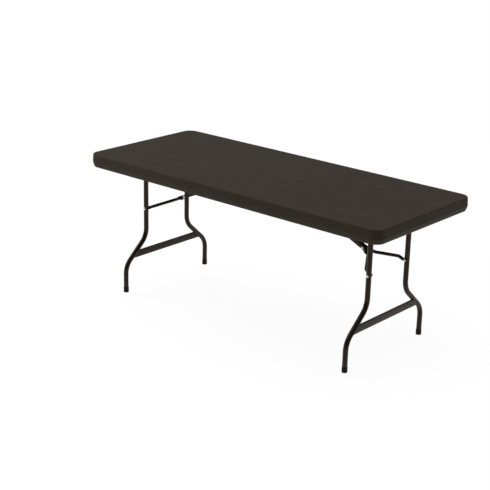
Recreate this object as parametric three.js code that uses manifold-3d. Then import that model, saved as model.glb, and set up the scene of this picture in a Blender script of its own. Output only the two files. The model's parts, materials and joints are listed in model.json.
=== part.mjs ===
// A folding table: a hollow moulded top with a deep apron, two steel side rails under it, and two
// wishbone leg frames that turn up into the recess. Each leg frame is held open by a straight brace
// of a swinging link, a yoke and a sliding lock ring.
//
// Units are millimetres. +Z is up, X runs along the table, and the origin is on the floor under
// the middle of the top. "front" is the -Y side and "back" is the +Y side.

import * as THREE from 'three';
import { mergeVertices } from 'three/addons/utils/BufferGeometryUtils.js';
import Module from 'manifold-3d';

const wasm = await Module();
wasm.setup();

// ---- Driving dimensions ----

const gap = 0.3; // between pieces that touch
const through = 60; // length of a cutter that passes right through a piece
const beyond = 2; // how far a shorter cutter runs past a face

const top = {
  length: 1829,
  width: 762,
  height: 737,
  panel: 24, // thickness of the hollow panel
  apron: 68, // height of the rim
  cornerRadius: 57,
  edgeRadius: 7,
  bulge: 2, // how far the rim swells below the rounded edge
  widestDrop: 40,
  taper: 8, // how far the rim draws in again at its lower edge
  lip: 14, // width of the rim's lower edge
  lipRadius: 3,
  lipDraft: 2, // how far the rim's inner face leans in by the panel
  skin: 3,
  blowHoleRadius: 5,
  blowHole: [300, 180],
};

const rail = {
  y: 333, // inner face of the web
  thickness: 2,
  depth: 17,
  length: 1700,
  bottom: 672,
  screwSpacing: 400,
  screwCount: 5,
};

const leg = {
  x: 721,
  pivotHeight: 684,
  radius: 12.7,
  wall: 1.5,
  innerY: 154.6,
  footY: 304.5,
  upperBend: 280,
  lowerBend: 145,
  bendRadius: 96,
  rivetHeight: 430,
};

const pivotTube = { radius: 9.5, wall: 1.5, halfLength: 343, bore: 9.9 };

const plug = { length: 12, headRadius: 9.4, headHeight: 3 };

const crossbar = {
  height: 37,
  depth: 12,
  wall: 1.5,
  z: 192,
  outset: 6, // of its middle from the plane of the legs, away from the table's middle
};

const foot = { radius: 13.8, height: 28, floor: 4, edge: 1.2 };

const brace = {
  anchorX: 127,
  anchorHeight: 700,
  foldedDrop: 16, // the leg pivot lies this far under the anchor
  linkWidth: 26,
  linkHeight: 18,
  linkWall: 2,
  linkOverlap: 30, // how far the link runs past the knee
  linkEyeRadius: 7, // of the link's end, round the anchor pin
  linkShoulder: 12, // where the link reaches its full height, past the anchor
  linkWebStart: 24, // where the link's web starts, past the anchor
  earThickness: 2,
  earPlay: 0.5, // between the link and each ear
  armStart: 28, // past the knee
  armFirstBend: 46, // past the knee
  armSecondBend: 35, // short of the rivet
  armTip: 8, // past the rivet
  armRadius: 8,
  armEndY: 133.2,
  tipHeadRadius: 6.5,
  armBendRadius: 20,
  ringInset: 21, // the lock ring's place, past the knee
  ringWidth: 10,
  ringWall: 2,
  ringPlayAside: 0.5, // beside the pin heads
  ringPlayAbove: 0.4, // over the link
  ringPlayBelow: 2.5, // under the link, so that the turning saddle clears the ring
};

const saddle = {
  halfHeight: 8,
  length: 48,
  rampStart: 24,
  rampEnd: 32,
  webStart: 33,
  webRise: 2.5, // of the web's top over the link
};

const bracket = {
  noseRadius: 8, // of the ears, round the pin
  back: 26, // how far the ears run behind the pin
  front: 14,
  backEdge: 3, // depth of the ears' back edge
  wing: 20, // width of the screwed wing beside each ear
};

const pin = { radius: 4, bore: 4.3, headRadius: 7, headHeight: 1.7 };
const screw = { radius: 2, bore: 2.4, headRadius: 4.5, headHeight: 2.2, length: 14, point: 2 };

// ---- Derived dimensions ----

const panelUnderside = top.height - top.panel;
const apronBottom = top.height - top.apron;

// The knee lies on the straight line from the leg's rivet to the anchor. Its place makes the link
// level when the leg is folded flat.
const braceRun = leg.x - brace.anchorX;
const braceRise = brace.anchorHeight - leg.rivetHeight;
const braceLength = Math.hypot(braceRun, braceRise);
const braceAngle = Math.atan2(braceRise, braceRun);
const foldedRivetX = leg.x - (leg.pivotHeight - leg.rivetHeight);
const foldedSpan = braceLength - (foldedRivetX - brace.anchorX);
const yokeLength = (foldedSpan ** 2 + brace.foldedDrop ** 2) / (2 * foldedSpan);
const linkLength = braceLength - yokeLength;
const kneeX = leg.x - yokeLength * Math.cos(braceAngle);
const kneeHeight = leg.rivetHeight + yokeLength * Math.sin(braceAngle);

// Half widths across the brace, from the middle outwards.
const earInner = brace.linkWidth / 2 + brace.earPlay;
const earOuter = earInner + brace.earThickness;
const armInnerY = earOuter + brace.armRadius + gap;
const ringInnerY = earOuter + gap + pin.headHeight + brace.ringPlayAside;

// ---- Materials ----

function finish(color, roughness, metalness) {
  return new THREE.MeshStandardMaterial({ color, roughness, metalness });
}

const materials = {
  plastic: finish(0x34302b, 0.62, 0),
  frame: finish(0x25211e, 0.42, 0.3),
  zinc: finish(0x9c9a94, 0.35, 0.9),
  cap: finish(0x141210, 0.7, 0),
};

// ---- Booleans ----

function toSolid(geometry) {
  const bare = geometry.clone();
  bare.deleteAttribute('normal');
  bare.deleteAttribute('uv');
  const merged = mergeVertices(bare, 1e-4);
  return new wasm.Manifold(new wasm.Mesh({
    numProp: 3,
    vertProperties: new Float32Array(merged.attributes.position.array),
    triVerts: new Uint32Array(merged.index.array),
  }));
}

function toGeometry(solid) {
  const mesh = solid.getMesh();
  const geometry = new THREE.BufferGeometry();
  geometry.setAttribute('position', new THREE.Float32BufferAttribute(mesh.vertProperties, 3));
  geometry.setIndex([...mesh.triVerts]);
  geometry.computeVertexNormals();
  return geometry;
}

function join(...geometries) {
  return toGeometry(geometries.map(toSolid).reduce((all, next) => all.add(next)));
}

function cut(body, ...tools) {
  return toGeometry(tools.map(toSolid).reduce((left, tool) => left.subtract(tool), toSolid(body)));
}

// ---- Shape helpers ----

// A cylinder along Y.
function rod(radius, length, x, y, z, sides = 16) {
  return new THREE.CylinderGeometry(radius, radius, length, sides).translate(x, y, z);
}

// A box between two corners.
function block(low, high) {
  const size = high.map((value, axis) => value - low[axis]);
  const centre = high.map((value, axis) => (value + low[axis]) / 2);
  return new THREE.BoxGeometry(...size).translate(...centre);
}

// An outline drawn in the XZ plane, as a plate from y to y + thickness.
function plate(shape, y, thickness) {
  const geometry = new THREE.ExtrudeGeometry(shape, {
    depth: thickness,
    bevelEnabled: false,
    curveSegments: 8,
  });
  return geometry.rotateX(Math.PI / 2).translate(0, y + thickness, 0);
}

// A turned piece along Z, from a profile of [radius, height] points.
function turned(profile, sides = 12) {
  const points = profile.map(([radius, height]) => new THREE.Vector2(radius, height));
  return new THREE.LatheGeometry(points, sides).rotateX(Math.PI / 2);
}

// A path of straight lines with each corner rounded.
function roundedPath(points, radius) {
  const path = new THREE.CurvePath();
  let from = points[0];
  for (let i = 1; i < points.length - 1; i += 1) {
    const back = points[i - 1].clone().sub(points[i]).normalize();
    const ahead = points[i + 1].clone().sub(points[i]).normalize();
    const turn = Math.PI - back.angleTo(ahead);
    const tangent = radius * Math.tan(turn / 2);
    const start = points[i].clone().addScaledVector(back, tangent);
    const end = points[i].clone().addScaledVector(ahead, tangent);
    path.add(new THREE.LineCurve3(from, start));
    path.add(new THREE.QuadraticBezierCurve3(start, points[i], end));
    from = end;
  }
  path.add(new THREE.LineCurve3(from, points.at(-1)));
  return path;
}

// A bar along a path: solid, or a tube where a wall is given.
function sweep(path, radius, wall, sides, steps) {
  const shape = new THREE.Shape().absarc(0, 0, radius, 0, Math.PI * 2, false);
  if (wall) shape.holes.push(new THREE.Path().absarc(0, 0, radius - wall, 0, Math.PI * 2, true));
  return new THREE.ExtrudeGeometry(shape, {
    steps,
    extrudePath: path,
    curveSegments: sides / 2,
  });
}

// The outline of the top, drawn in from its full size by an inset.
function topOutline(inset) {
  const x = top.length / 2 - inset;
  const y = top.width / 2 - inset;
  const radius = top.cornerRadius - inset;
  const shape = new THREE.Shape();
  shape.absarc(x - radius, y - radius, radius, 0, Math.PI / 2, false);
  shape.absarc(radius - x, y - radius, radius, Math.PI / 2, Math.PI, false);
  shape.absarc(radius - x, radius - y, radius, Math.PI, Math.PI * 1.5, false);
  shape.absarc(x - radius, radius - y, radius, Math.PI * 1.5, Math.PI * 2, false);
  return shape.getPoints(4).slice(0, -1);
}

// A closed body through outlines stacked from the top down, each an [inset, height] pair.
function loft(levels) {
  const outlines = levels.map(([inset]) => topOutline(inset));
  const count = outlines[0].length;
  const positions = levels.flatMap(([, height], level) =>
    outlines[level].flatMap((point) => [point.x, point.y, height]));
  const triangles = [];
  for (let level = 0; level < levels.length - 1; level += 1) {
    for (let i = 0; i < count; i += 1) {
      const next = (i + 1) % count;
      const upper = level * count;
      const lower = upper + count;
      triangles.push(upper + i, lower + i, lower + next);
      triangles.push(upper + i, lower + next, upper + next);
    }
  }
  const last = (levels.length - 1) * count;
  for (const [a, b, c] of THREE.ShapeUtils.triangulateShape(outlines[0], [])) {
    triangles.push(a, b, c);
    triangles.push(last + a, last + c, last + b);
  }
  const geometry = new THREE.BufferGeometry();
  geometry.setAttribute('position', new THREE.Float32BufferAttribute(positions, 3));
  geometry.setIndex(triangles);
  geometry.computeVertexNormals();
  return geometry;
}

// ---- The top ----

// Levels of the moulded skin, from the middle of the top face over the edge, down the rim, round
// its lip and up to the underside of the panel. The offset moves them all inwards for the hollow.
function skinLevels(offset) {
  const edgeInset = top.bulge + offset;
  const edgeRadius = top.edgeRadius - offset;
  const crown = top.height - offset;
  const lipOuter = top.taper + offset;
  const lipInner = top.taper + top.lip - offset;
  const floor = apronBottom + offset;
  const levels = [];
  for (const turn of [90, 60, 30, 0]) {
    const angle = THREE.MathUtils.degToRad(turn);
    levels.push([
      edgeInset + edgeRadius * (1 - Math.cos(angle)),
      crown - edgeRadius * (1 - Math.sin(angle)),
    ]);
  }
  levels.push([offset, top.height - top.widestDrop]);
  levels.push([lipOuter - top.lipRadius / 2, floor + top.lipRadius]);
  levels.push([lipOuter, floor]);
  levels.push([lipInner, floor]);
  levels.push([lipInner + top.lipDraft, panelUnderside + offset]);
  return levels;
}

// Places of the screws that hold each rail.
function railScrewPlaces() {
  const places = [];
  for (let i = 0; i < rail.screwCount; i += 1) {
    places.push((i - (rail.screwCount - 1) / 2) * rail.screwSpacing);
  }
  return places;
}

const railScrewY = rail.y + rail.thickness + rail.depth / 2;
const bracketScrewY = earOuter + bracket.wing / 2;

function verticalHole(radius, x, y, low, high) {
  return rod(radius, high - low, 0, 0, 0, 8).rotateX(Math.PI / 2).translate(x, y, (low + high) / 2);
}

function tabletop() {
  const holes = [];
  for (const side of [-1, 1]) {
    const [blowX, blowY] = top.blowHole;
    const low = panelUnderside - beyond;
    const high = panelUnderside + top.skin + beyond;
    holes.push(verticalHole(top.blowHoleRadius, side * blowX, side * blowY, low, high));
    for (const x of railScrewPlaces()) {
      holes.push(verticalHole(screw.bore, x, side * railScrewY, low, high));
    }
    for (const end of [-1, 1]) {
      holes.push(verticalHole(screw.bore, end * brace.anchorX, side * bracketScrewY, low, high));
    }
  }
  return cut(loft(skinLevels(0)), loft(skinLevels(top.skin)), ...holes);
}

// ---- Fasteners ----

// A rivet or pin along Y, with a head at each end that is asked for.
function rivet(from, to, headAtStart, headAtEnd, headRadius = pin.headRadius) {
  const profile = [[0, from - (headAtStart ? pin.headHeight : 0)]];
  if (headAtStart) {
    profile.push([headRadius, from - pin.headHeight], [headRadius, from]);
  }
  profile.push([pin.radius, from], [pin.radius, to]);
  if (headAtEnd) {
    profile.push([headRadius, to], [headRadius, to + pin.headHeight]);
  }
  profile.push([0, to + (headAtEnd ? pin.headHeight : 0)]);
  return turned(profile).rotateX(-Math.PI / 2);
}

// A pan-head screw that points up, with its head under a sheet whose lower face is at z = 0.
function panScrew() {
  return turned([
    [0, -screw.headHeight - gap],
    [screw.headRadius, -screw.headHeight - gap],
    [screw.headRadius, -gap],
    [screw.radius, -gap],
    [screw.radius, screw.length - screw.point],
    [0, screw.length],
  ], 8);
}

// ---- Rails and brackets under the top ----

function sideRail() {
  const roof = panelUnderside - gap;
  const t = rail.thickness;
  const shape = new THREE.Shape();
  shape.moveTo(0, rail.bottom);
  shape.lineTo(t + rail.depth, rail.bottom);
  shape.lineTo(t + rail.depth, rail.bottom + t);
  shape.lineTo(t, rail.bottom + t);
  shape.lineTo(t, roof - t);
  shape.lineTo(t + rail.depth, roof - t);
  shape.lineTo(t + rail.depth, roof);
  shape.lineTo(0, roof);
  shape.closePath();
  const channel = new THREE.ExtrudeGeometry(shape, { depth: rail.length, bevelEnabled: false });
  channel.rotateX(Math.PI / 2).rotateZ(Math.PI / 2);
  channel.translate(-rail.length / 2, rail.y, 0);
  const tools = [-1, 1].map((end) =>
    rod(pivotTube.bore, through, end * leg.x, rail.y, leg.pivotHeight, 24));
  for (const x of railScrewPlaces()) {
    tools.push(verticalHole(screw.bore, x, railScrewY, roof - t - beyond, roof + beyond));
  }
  return cut(channel, ...tools);
}

function anchorBracket() {
  const roof = panelUnderside - gap;
  const t = brace.earThickness;
  const ear = new THREE.Shape();
  const back = brace.anchorX - bracket.back;
  ear.moveTo(back, roof);
  ear.lineTo(back, roof - bracket.backEdge);
  ear.lineTo(brace.anchorX - bracket.noseRadius, brace.anchorHeight);
  ear.absarc(brace.anchorX, brace.anchorHeight, bracket.noseRadius, Math.PI, Math.PI * 2, false);
  ear.lineTo(brace.anchorX + bracket.front, roof);
  ear.closePath();
  const pieces = [
    plate(ear, earInner, t),
    plate(ear, -earOuter, t),
    block([back, -earOuter, roof - t], [brace.anchorX - bracket.back / 2, earOuter, roof]),
  ];
  for (const side of [-1, 1]) {
    const inner = side * (earInner + t / 4);
    const outer = side * (earOuter + bracket.wing);
    pieces.push(block(
      [brace.anchorX - bracket.front, Math.min(inner, outer), roof - t],
      [brace.anchorX + bracket.front, Math.max(inner, outer), roof],
    ));
  }
  const holes = [rod(pin.bore, through, brace.anchorX, 0, brace.anchorHeight)];
  for (const side of [-1, 1]) {
    const y = side * bracketScrewY;
    holes.push(verticalHole(screw.bore, brace.anchorX, y, roof - t - beyond, roof + beyond));
  }
  return cut(join(...pieces), ...holes);
}

// ---- Leg frame ----

function legPath(side, z0, z1) {
  return roundedPath([
    new THREE.Vector3(leg.x, side * leg.innerY, z1),
    new THREE.Vector3(leg.x, side * leg.innerY, leg.upperBend),
    new THREE.Vector3(leg.x, side * leg.footY, leg.lowerBend),
    new THREE.Vector3(leg.x, side * leg.footY, z0),
  ], leg.bendRadius);
}

function legTube(side) {
  const path = legPath(side, foot.floor + gap, leg.pivotHeight);
  return cut(
    sweep(path, leg.radius, leg.wall, 12, 22),
    rod(pivotTube.radius + gap, through, leg.x, side * leg.innerY, leg.pivotHeight),
    rod(pin.bore, through, leg.x, side * leg.innerY, leg.rivetHeight),
  );
}

function pivotCrossTube() {
  const length = pivotTube.halfLength * 2;
  return cut(
    rod(pivotTube.radius, length, leg.x, 0, leg.pivotHeight, 20),
    rod(pivotTube.radius - pivotTube.wall, length + through, leg.x, 0, leg.pivotHeight, 20),
  );
}

function pivotPlug() {
  const inner = pivotTube.radius - pivotTube.wall - gap;
  return turned([
    [0, -plug.length],
    [inner, -plug.length],
    [inner, gap],
    [plug.headRadius, gap],
    [plug.headRadius, plug.headHeight],
    [0, plug.headHeight],
  ], 16);
}

function lowerCrossbar() {
  const half = crossbar.height / 2;
  const slope = (leg.footY - leg.innerY) / (leg.upperBend - leg.lowerBend);
  const legY = (z) => leg.innerY + (leg.upperBend - z) * slope;
  const low = crossbar.z - half;
  const high = crossbar.z + half;
  const shape = new THREE.Shape();
  shape.moveTo(-legY(low), low);
  shape.lineTo(legY(low), low);
  shape.lineTo(legY(high), high);
  shape.lineTo(-legY(high), high);
  shape.closePath();
  const bar = new THREE.ExtrudeGeometry(shape, { depth: crossbar.depth, bevelEnabled: false });
  const middle = leg.x + crossbar.outset;
  bar.rotateX(Math.PI / 2).rotateZ(Math.PI / 2).translate(middle - crossbar.depth / 2, 0, 0);
  const wall = crossbar.wall;
  const x = crossbar.depth / 2 - wall;
  const hollow = block(
    [middle - x, -top.width / 2, low + wall],
    [middle + x, top.width / 2, high - wall],
  );
  const tools = [-1, 1].map((side) =>
    sweep(legPath(side, foot.height, leg.rivetHeight), leg.radius + gap, 0, 12, 22));
  return cut(bar, hollow, ...tools);
}

function footCap() {
  const inner = leg.radius + gap;
  return turned([
    [0, 0],
    [foot.radius - foot.edge, 0],
    [foot.radius, foot.edge],
    [foot.radius, foot.height],
    [inner, foot.height],
    [inner, foot.floor],
    [0, foot.floor],
  ], 20);
}

// ---- Brace, drawn straight along X with the knee at the origin, then tilted ----

function swingLink() {
  const half = brace.linkHeight / 2;
  const wallOutline = new THREE.Shape();
  const eye = brace.linkEyeRadius;
  const shoulder = brace.linkShoulder - linkLength;
  wallOutline.moveTo(-linkLength, eye);
  wallOutline.absarc(-linkLength, 0, eye, Math.PI / 2, Math.PI * 1.5, false);
  wallOutline.lineTo(shoulder, -half);
  wallOutline.lineTo(brace.linkOverlap - half, -half);
  wallOutline.absarc(brace.linkOverlap - half, 0, half, -Math.PI / 2, Math.PI / 2, false);
  wallOutline.lineTo(shoulder, half);
  wallOutline.closePath();
  const outer = brace.linkWidth / 2;
  const inner = outer - brace.linkWall;
  const web = block(
    [brace.linkWebStart - linkLength, -inner - brace.linkWall / 2, half - brace.linkWall],
    [brace.linkOverlap - half, inner + brace.linkWall / 2, half],
  );
  const channel = join(
    plate(wallOutline, inner, brace.linkWall),
    plate(wallOutline, -outer, brace.linkWall),
    web,
  );
  return cut(channel, rod(pin.bore, through, 0, 0, 0), rod(pin.bore, through, -linkLength, 0, 0));
}

function kneeBracket() {
  const half = saddle.halfHeight;
  const webTop = brace.linkHeight / 2 + saddle.webRise;
  const t = brace.earThickness;
  const ear = new THREE.Shape();
  ear.moveTo(0, -half);
  ear.lineTo(saddle.length, -half);
  ear.lineTo(saddle.length, webTop);
  ear.lineTo(saddle.rampEnd, webTop);
  ear.lineTo(saddle.rampStart, half);
  ear.lineTo(0, half);
  ear.absarc(0, 0, half, Math.PI / 2, Math.PI * 1.5, false);
  const plates = join(
    plate(ear, earInner, t),
    plate(ear, -earOuter, t),
    block(
      [saddle.webStart, -earInner - t / 2, webTop - t],
      [saddle.length, earInner + t / 2, webTop],
    ),
  );
  return cut(plates, rod(pin.bore, through, 0, 0, 0));
}

function yokeArm(side) {
  const path = roundedPath([
    new THREE.Vector3(brace.armStart, side * armInnerY, 0),
    new THREE.Vector3(brace.armFirstBend, side * armInnerY, 0),
    new THREE.Vector3(yokeLength - brace.armSecondBend, side * brace.armEndY, 0),
    new THREE.Vector3(yokeLength + brace.armTip, side * brace.armEndY, 0),
  ], brace.armBendRadius);
  const arm = sweep(path, brace.armRadius, 0, 8, 16);
  return cut(arm, rod(pin.bore, through, yokeLength, side * brace.armEndY, 0));
}

function lockRing() {
  const low = -brace.linkHeight / 2 - brace.ringPlayBelow;
  const high = brace.linkHeight / 2 + brace.ringPlayAbove;
  const half = brace.ringWidth / 2;
  const wall = brace.ringWall;
  const centre = brace.ringInset;
  return cut(
    block(
      [centre - half, -ringInnerY - wall, low - wall],
      [centre + half, ringInnerY + wall, high + wall],
    ),
    block(
      [centre - brace.ringWidth, -ringInnerY, low],
      [centre + brace.ringWidth, ringInnerY, high],
    ),
  );
}

// ---- Assembly ----

const table = new THREE.Group();
table.name = 'folding_table';

function add(parent, name, geometry, material, x = 0, y = 0, z = 0) {
  const mesh = new THREE.Mesh(geometry, material);
  mesh.name = name;
  mesh.position.set(x, y, z);
  parent.add(mesh);
  return mesh;
}

function sideName(side) {
  return side < 0 ? 'front' : 'back';
}

function addRails() {
  for (const side of [-1, 1]) {
    const holder = new THREE.Group();
    holder.rotation.z = side < 0 ? Math.PI : 0;
    table.add(holder);
    const name = sideName(side);
    add(holder, `side_rail_${name}`, sideRail(), materials.frame);
    railScrewPlaces().forEach((x, index) => {
      const z = panelUnderside - gap - rail.thickness;
      add(table, `rail_screw_${name}_${index + 1}`, panScrew(), materials.zinc, x, side * railScrewY, z);
    });
  }
}

function addLegFrame(holder, end, worldName) {
  add(holder, `${end}_pivot_tube`, pivotCrossTube(), materials.frame);
  add(holder, `${end}_crossbar`, lowerCrossbar(), materials.frame);
  for (const side of [-1, 1]) {
    const name = `${end}_${worldName(side)}`;
    add(holder, `${name}_leg_tube`, legTube(side), materials.frame);
    add(holder, `${name}_foot_cap`, footCap(), materials.cap, leg.x, side * leg.footY, 0);
    const plug = add(
      holder,
      `${name}_pivot_plug`,
      pivotPlug(),
      materials.cap,
      leg.x,
      side * pivotTube.halfLength,
      leg.pivotHeight,
    );
    plug.rotation.x = -side * Math.PI / 2;
    const outerFace = leg.innerY + leg.radius + gap;
    const innerFace = leg.innerY - leg.radius - gap / 2;
    const legRivet = rivet(innerFace, outerFace, false, true);
    const mesh = add(holder, `${name}_leg_rivet`, legRivet, materials.zinc, leg.x, 0, leg.rivetHeight);
    mesh.rotation.z = side < 0 ? Math.PI : 0;
  }
}

function addBrace(holder, end, worldName) {
  add(holder, `${end}_anchor_bracket`, anchorBracket(), materials.frame);
  for (const side of [-1, 1]) {
    add(
      holder,
      `${end}_bracket_screw_${worldName(side)}`,
      panScrew(),
      materials.zinc,
      brace.anchorX,
      side * bracketScrewY,
      panelUnderside - gap - brace.earThickness,
    );
  }
  const anchorPin = rivet(-earOuter - gap, earOuter + gap, true, true);
  add(holder, `${end}_anchor_pin`, anchorPin, materials.zinc, brace.anchorX, 0, brace.anchorHeight);

  const tilted = new THREE.Group();
  tilted.position.set(kneeX, 0, kneeHeight);
  tilted.rotation.y = braceAngle;
  holder.add(tilted);
  add(tilted, `${end}_swing_link`, swingLink(), materials.frame);
  add(tilted, `${end}_knee_pin`, rivet(-earOuter - gap, earOuter + gap, true, true), materials.zinc);
  add(tilted, `${end}_lock_ring`, lockRing(), materials.frame);
  add(tilted, `${end}_knee_bracket`, kneeBracket(), materials.frame);
  for (const side of [-1, 1]) {
    const name = `${end}_yoke_${worldName(side)}`;
    add(tilted, `${name}_arm`, yokeArm(side), materials.frame);
    const headFace = brace.armEndY - brace.armRadius - gap;
    const shankEnd = brace.armEndY + brace.armRadius;
    const tipRivet = add(
      tilted,
      `${name}_rivet`,
      rivet(headFace, shankEnd, true, false, brace.tipHeadRadius),
      materials.zinc,
      yokeLength,
      0,
      0,
    );
    tipRivet.rotation.z = side < 0 ? Math.PI : 0;
  }
}

function addEnd(end, turn) {
  const holder = new THREE.Group();
  holder.rotation.z = turn;
  table.add(holder);
  const worldName = (side) => sideName(turn ? -side : side);
  addLegFrame(holder, end, worldName);
  addBrace(holder, end, worldName);
}

add(table, 'tabletop', tabletop(), materials.plastic);
addRails();
addEnd('right', 0);
addEnd('left', Math.PI);

export default table;
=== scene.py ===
"""Looks of a folding table with a moulded top and two folding wishbone leg frames.

Every size is in metres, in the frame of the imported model: +Z up, X along the table.
"""

import json
import math
import random

import bmesh
import bpy
from mathutils import Matrix, Vector
from mathutils.geometry import delaunay_2d_cdt


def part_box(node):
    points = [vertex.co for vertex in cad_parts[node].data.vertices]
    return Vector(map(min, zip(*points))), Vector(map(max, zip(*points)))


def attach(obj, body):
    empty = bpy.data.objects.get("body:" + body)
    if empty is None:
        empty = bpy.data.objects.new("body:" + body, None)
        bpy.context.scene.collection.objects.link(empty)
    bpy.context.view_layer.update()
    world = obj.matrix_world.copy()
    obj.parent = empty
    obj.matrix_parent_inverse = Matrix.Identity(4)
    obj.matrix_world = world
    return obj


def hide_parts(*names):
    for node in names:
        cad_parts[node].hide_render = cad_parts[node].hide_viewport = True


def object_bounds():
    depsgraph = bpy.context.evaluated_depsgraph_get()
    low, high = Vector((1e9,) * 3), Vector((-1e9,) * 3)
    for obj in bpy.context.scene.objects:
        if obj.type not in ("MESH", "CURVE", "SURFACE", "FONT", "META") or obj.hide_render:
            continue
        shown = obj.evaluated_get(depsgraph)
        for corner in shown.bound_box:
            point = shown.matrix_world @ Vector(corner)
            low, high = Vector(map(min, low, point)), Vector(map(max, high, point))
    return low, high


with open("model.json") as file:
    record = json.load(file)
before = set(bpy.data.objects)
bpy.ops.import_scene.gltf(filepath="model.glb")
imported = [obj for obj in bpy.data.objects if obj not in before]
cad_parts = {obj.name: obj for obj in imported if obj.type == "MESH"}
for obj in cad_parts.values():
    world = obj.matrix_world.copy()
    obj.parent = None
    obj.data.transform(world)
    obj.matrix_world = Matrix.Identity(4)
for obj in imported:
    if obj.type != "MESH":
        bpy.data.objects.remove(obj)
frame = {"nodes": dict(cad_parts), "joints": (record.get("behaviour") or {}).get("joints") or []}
cad_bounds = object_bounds()
scene = bpy.context.scene

MM = 0.001
ENDS = {"right": 1, "left": -1}
SIDES = {"front": -1, "back": 1}
X_AXIS = Vector((1, 0, 0))
Y_AXIS = Vector((0, 1, 0))
Z_AXIS = Vector((0, 0, 1))

PLASTIC_SLOT = "moulded_plastic"
STEEL_SLOT = "painted_steel"
ZINC_SLOT = "zinc_plated_steel"
CAP_SLOT = "cap_plastic"


# ---- Camera ----

CAMERA_AZIMUTH = math.radians(40.78)
CAMERA_ELEVATION = math.radians(19.05)
CAMERA_ROLL = math.radians(1.32)
CAMERA_DISTANCE = 5.8555
CAMERA_TARGET = Vector((-0.0168, -0.1643, 0.400))
CAMERA_LENS = 87.36
CAMERA_SENSOR = 36


def make_camera():
    data = bpy.data.cameras.new("camera")
    data.lens = CAMERA_LENS
    data.sensor_width = CAMERA_SENSOR
    camera = bpy.data.objects.new("camera", data)
    scene.collection.objects.link(camera)
    level = math.cos(CAMERA_ELEVATION)
    back = Vector((
        math.sin(CAMERA_AZIMUTH) * level,
        -math.cos(CAMERA_AZIMUTH) * level,
        math.sin(CAMERA_ELEVATION),
    ))
    level_right = Z_AXIS.cross(back).normalized()
    level_up = back.cross(level_right)
    right = level_right * math.cos(CAMERA_ROLL) + level_up * math.sin(CAMERA_ROLL)
    turn = Matrix((right, back.cross(right), back)).transposed()
    camera.matrix_world = Matrix.Translation(CAMERA_TARGET + back * CAMERA_DISTANCE) @ turn.to_4x4()
    scene.camera = camera


make_camera()


# ---- Materials ----

class Surface:
    """A node material with a Principled shader, and short calls for what all of them need."""

    def __init__(self, name):
        self.material = bpy.data.materials.new(name)
        self.material.use_nodes = True
        self.tree = self.material.node_tree
        self.shader = self.tree.nodes["Principled BSDF"]
        self.place = self.add("ShaderNodeTexCoord").outputs["Object"]

    def add(self, kind, **settings):
        node = self.tree.nodes.new(kind)
        for key, value in settings.items():
            setattr(node, key, value)
        return node

    def link(self, output, socket):
        self.tree.links.new(output, socket)

    def noise(self, size, detail=2.0, roughness=0.5, stretch=None):
        """Noise with features of about the given size, in metres."""
        node = self.add("ShaderNodeTexNoise")
        node.inputs["Scale"].default_value = 1 / size
        node.inputs["Detail"].default_value = detail
        node.inputs["Roughness"].default_value = roughness
        place = self.place
        if stretch:
            mapping = self.add("ShaderNodeMapping")
            mapping.inputs["Scale"].default_value = stretch
            self.link(place, mapping.inputs["Vector"])
            place = mapping.outputs["Vector"]
        self.link(place, node.inputs["Vector"])
        return node.outputs["Fac"]

    def cells(self, size):
        """Distance to the nearest of many scattered points, about one cell size apart."""
        node = self.add("ShaderNodeTexVoronoi")
        node.inputs["Scale"].default_value = 1 / size
        self.link(self.place, node.inputs["Vector"])
        return node.outputs["Distance"]

    def spread(self, value, low, high, to_low, to_high):
        """The value's range low..high turned into the range to_low..to_high."""
        node = self.add("ShaderNodeMapRange")
        node.inputs["From Min"].default_value = low
        node.inputs["From Max"].default_value = high
        node.inputs["To Min"].default_value = to_low
        node.inputs["To Max"].default_value = to_high
        self.link(value, node.inputs["Value"])
        return node.outputs["Result"]

    def sum(self, first, second):
        node = self.add("ShaderNodeMath", operation="ADD")
        self.link(first, node.inputs[0])
        self.link(second, node.inputs[1])
        return node.outputs[0]

    def mix(self, factor, first, second):
        """A blend of two colours, each a tuple or another node's output."""
        node = self.add("ShaderNodeMix", data_type="RGBA")
        self.link(factor, node.inputs["Factor"])
        for value, socket in ((first, node.inputs[6]), (second, node.inputs[7])):
            if isinstance(value, tuple):
                socket.default_value = (*value, 1)
            else:
                self.link(value, socket)
        return node.outputs[2]

    def edges(self, low, high):
        """1 on convex edges, 0 elsewhere: worn edges on the plastics, a painted highlight on the powder
        coat.
        """
        return self.spread(self.add("ShaderNodeNewGeometry").outputs["Pointiness"], low, high, 0, 1)

    def colour(self, output):
        self.link(output, self.shader.inputs["Base Color"])

    def roughness(self, output):
        self.link(output, self.shader.inputs["Roughness"])

    def bump(self, height, distance, strength=1.0):
        node = self.add("ShaderNodeBump")
        node.inputs["Distance"].default_value = distance
        node.inputs["Strength"].default_value = strength
        self.link(height, node.inputs["Height"])
        self.link(node.outputs["Normal"], self.shader.inputs["Normal"])

    def uniform(self, **values):
        """Numbers that are the same all over, by the shader's own socket names."""
        for name, value in values.items():
            self.shader.inputs[name.replace("_", " ")].default_value = value


def moulded_plastic():
    """Dark brown-black polyethylene with a fine pebble grain and faint scuffs."""
    s = Surface("moulded_plastic")
    cloud = s.spread(s.noise(0.22, 4), 0.35, 0.65, 0, 1)
    base = s.mix(cloud, (0.0262, 0.0200, 0.0138), (0.0292, 0.0226, 0.0160))
    scuffs = s.spread(s.noise(0.012, 6, 0.7, (0.25, 1, 1)), 0.66, 0.80, 0, 0.30)
    scuffed = s.mix(scuffs, base, (0.050, 0.042, 0.034))
    s.colour(s.mix(s.edges(0.52, 0.60), scuffed, (0.046, 0.038, 0.030)))
    pebbles = s.spread(s.cells(0.0016), 0.0, 0.7, 1, 0)
    grain = s.sum(pebbles, s.noise(0.0007, 3))
    s.roughness(s.spread(s.noise(0.05, 5), 0.3, 0.7, 0.58, 0.64))
    s.bump(grain, 0.00012, 0.55)
    s.uniform(Specular_IOR_Level=0.12, Specular_Tint=(1.0, 0.88, 0.76, 1))
    return s.material


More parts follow.
